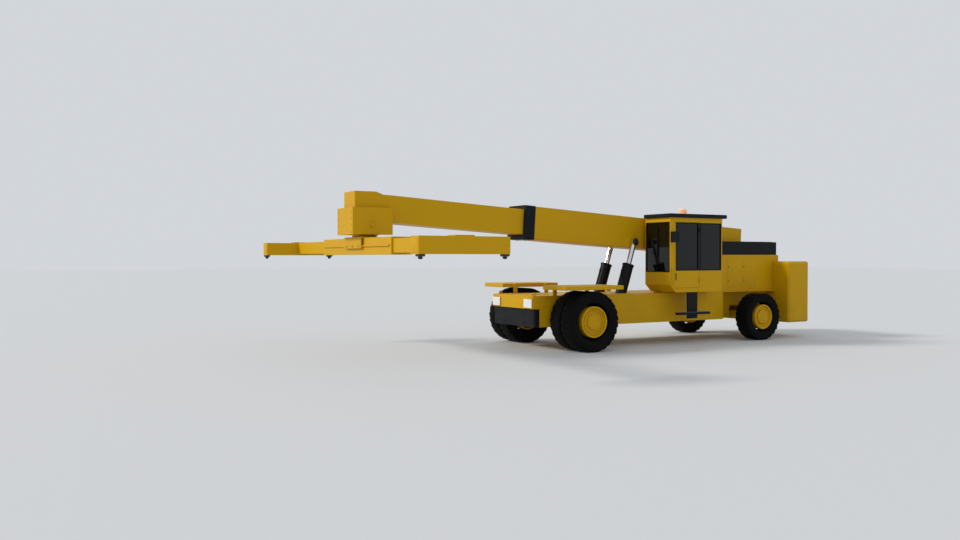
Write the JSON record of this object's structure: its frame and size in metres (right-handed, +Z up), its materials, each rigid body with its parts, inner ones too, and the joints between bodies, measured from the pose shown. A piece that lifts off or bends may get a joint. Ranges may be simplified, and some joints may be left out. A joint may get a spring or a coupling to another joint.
{
  "type": "reach stacker",
  "caption": "Wheeled port machine with side cab, rear counterweight and telescopic boom carrying a level, turning, telescopic box spreader.",
  "frame": {"origin": "middle of the bounding box, on the ground under the tyres", "axes": "+X forward to the spreader, +Y to the left side where the cab is, +Z up"},
  "size_m": [18.1796, 12.205, 4.83],
  "materials": {
    "yellow_paint": "semi-gloss golden yellow machine paint",
    "dark_paint": "satin near-black paint",
    "tyre": "matte black rubber",
    "chrome": "hard-chromed rods and sleeves",
    "steel": "bare worked steel",
    "glass": "dark tinted safety glass",
    "lamp_white": "clear lamp lens",
    "lamp_red": "red lamp lens",
    "lamp_amber": "amber beacon lens",
    "cast_iron": "painted iron block",
    "interior": "black plastic and cloth"
  },
  "bodies": {
    "frame": {"chassis": "yellow_paint", "boom_towers": "yellow_paint", "bumper": "dark_paint", "headlights": "lamp_white", "tail_lamps": "lamp_red", "front_axle": "yellow_paint", "rear_axle": "yellow_paint", "fender_left": "yellow_paint", "fender_right": "yellow_paint", "hood": "yellow_paint", "air_box": "dark_paint", "engine": "cast_iron", "counterweight": "yellow_paint", "cab_shell": "yellow_paint", "cab_roof": "dark_paint", "cab_glass": "glass", "cab_interior": "interior", "side_mirror": "dark_paint", "beacon": "lamp_amber", "step": "dark_paint"},
    "door": {"cab_door": "yellow_paint", "door_glass": "glass"},
    "boom": {"boom_outer": "yellow_paint", "boom_collar": "dark_paint"},
    "inner_boom": {"boom_inner": "yellow_paint"},
    "head": {"head": "yellow_paint"},
    "carriage": {"carriage": "dark_paint"},
    "beam": {"spreader_beam": "yellow_paint"},
    "arm_left": {"spreader_arm_left": "yellow_paint", "twistlocks_left": "steel"},
    "arm_right": {"spreader_arm_right": "yellow_paint", "twistlocks_right": "steel"},
    "knuckle_left": {"knuckle_left": "dark_paint"},
    "front_wheel_left": {"tyres_front_left": "tyre", "rim_front_left": "yellow_paint"},
    "rear_wheel_left": {"tyre_rear_left": "tyre", "rim_rear_left": "yellow_paint"},
    "barrel_left": {"lift_barrel_left": "dark_paint"},
    "sleeve_left": {"lift_sleeve_left": "chrome"},
    "stage_left": {"lift_stage_left": "chrome"},
    "rod_left": {"lift_rod_left": "chrome"},
    "knuckle_right": {"knuckle_right": "dark_paint"},
    "front_wheel_right": {"tyres_front_right": "tyre", "rim_front_right": "yellow_paint"},
    "rear_wheel_right": {"tyre_rear_right": "tyre", "rim_rear_right": "yellow_paint"},
    "barrel_right": {"lift_barrel_right": "dark_paint"},
    "sleeve_right": {"lift_sleeve_right": "chrome"},
    "stage_right": {"lift_stage_right": "chrome"},
    "rod_right": {"lift_rod_right": "chrome"}
  },
  "joints": [
    {"name": "boom_lift", "type": "hinge", "parent": "frame", "child": "boom", "pos_m": [-6.55975, 0, 3.22], "axis": [0, -1, 0], "range_deg": [-3, 47]},
    {"name": "boom_extend", "type": "slide", "parent": "boom", "child": "inner_boom", "axis": [0.9981, 0, 0.0616], "range_m": [-3.9, 3.5]},
    {"name": "head_level", "type": "hinge", "parent": "inner_boom", "child": "head", "pos_m": [7.87025, 0, 3.87], "axis": [0, -1, 0], "range_deg": [-47.5, 3.5]},
    {"name": "spreader_turn", "type": "hinge", "parent": "head", "child": "carriage", "pos_m": [7.87025, 0, 3.5], "axis": [0, 0, -1], "range_deg": [-95, 185]},
    {"name": "side_shift", "type": "slide", "parent": "carriage", "child": "beam", "axis": [0, 1, 0], "range_m": [-0.8, 0.8]},
    {"name": "arm_left_slide", "type": "slide", "parent": "beam", "child": "arm_left", "axis": [0, 1, 0], "range_m": [-3.065, 0]},
    {"name": "arm_right_slide", "type": "slide", "parent": "beam", "child": "arm_right", "axis": [0, -1, 0], "range_m": [-3.065, 0]},
    {"name": "door_hinge", "type": "hinge", "parent": "frame", "child": "door", "pos_m": [-3.46775, 1.97, 3], "axis": [0, 0, 1], "range_deg": [0, 95]},
    {"name": "steer_left", "type": "hinge", "parent": "frame", "child": "knuckle_left", "pos_m": [-6.41975, 1.33, 0.825], "axis": [0, 0, 1], "range_deg": [-40, 40]},
    {"name": "steer_right", "type": "hinge", "parent": "frame", "child": "knuckle_right", "pos_m": [-6.41975, -1.33, 0.825], "axis": [0, 0, 1], "range_deg": [-40, 40]},
    {"name": "barrel_left_tilt", "type": "hinge", "parent": "frame", "child": "barrel_left", "pos_m": [-0.91675, 0.595, 0.9], "axis": [0, -1, 0], "range_deg": [-2, 6]},
    {"name": "sleeve_left_slide", "type": "slide", "parent": "barrel_left", "child": "sleeve_left", "axis": [-0.3139, 0, 0.9495], "range_m": [-0.1, 1.3]},
    {"name": "stage_left_slide", "type": "slide", "parent": "sleeve_left", "child": "stage_left", "axis": [-0.3139, 0, 0.9495], "range_m": [-0.1, 1.3]},
    {"name": "rod_left_slide", "type": "slide", "parent": "stage_left", "child": "rod_left", "axis": [-0.3139, 0, 0.9495], "range_m": [-0.1, 1.3]},
    {"name": "barrel_right_tilt", "type": "hinge", "parent": "frame", "child": "barrel_right", "pos_m": [-0.91675, -0.595, 0.9], "axis": [0, -1, 0], "range_deg": [-2, 6]},
    {"name": "sleeve_right_slide", "type": "slide", "parent": "barrel_right", "child": "sleeve_right", "axis": [-0.3139, 0, 0.9495], "range_m": [-0.1, 1.3]},
    {"name": "stage_right_slide", "type": "slide", "parent": "sleeve_right", "child": "stage_right", "axis": [-0.3139, 0, 0.9495], "range_m": [-0.1, 1.3]},
    {"name": "rod_right_slide", "type": "slide", "parent": "stage_right", "child": "rod_right", "axis": [-0.3139, 0, 0.9495], "range_m": [-0.1, 1.3]},
    {"name": "front_left_spin", "type": "hinge", "parent": "frame", "child": "front_wheel_left", "pos_m": [1.29025, 1.86, 0.937], "axis": [0, 1, 0], "continuous": true},
    {"name": "rear_left_spin", "type": "hinge", "parent": "knuckle_left", "child": "rear_wheel_left", "pos_m": [-6.41975, 1.79, 0.825], "axis": [0, 1, 0], "continuous": true},
    {"name": "front_right_spin", "type": "hinge", "parent": "frame", "child": "front_wheel_right", "pos_m": [1.29025, -1.86, 0.937], "axis": [0, 1, 0], "continuous": true},
    {"name": "rear_right_spin", "type": "hinge", "parent": "knuckle_right", "child": "rear_wheel_right", "pos_m": [-6.41975, -1.79, 0.825], "axis": [0, 1, 0], "continuous": true}
  ],
  "couplings": [
    {"joint": "head_level", "follows": "boom_lift", "ratio": -1},
    {"joint": "arm_right_slide", "follows": "arm_left_slide", "ratio": 1},
    {"joint": "steer_right", "follows": "steer_left", "ratio": 1},
    {"joint": "barrel_left_tilt", "follows": "boom_lift", "ratio": 0.055},
    {"joint": "sleeve_left_slide", "follows": "boom_lift", "m_per_rad": 1.5667},
    {"joint": "stage_left_slide", "follows": "boom_lift", "m_per_rad": 1.5667},
    {"joint": "rod_left_slide", "follows": "boom_lift", "m_per_rad": 1.5667},
    {"joint": "barrel_right_tilt", "follows": "boom_lift", "ratio": 0.055},
    {"joint": "sleeve_right_slide", "follows": "boom_lift", "m_per_rad": 1.5667},
    {"joint": "stage_right_slide", "follows": "boom_lift", "m_per_rad": 1.5667},
    {"joint": "rod_right_slide", "follows": "boom_lift", "m_per_rad": 1.5667}
  ]
}
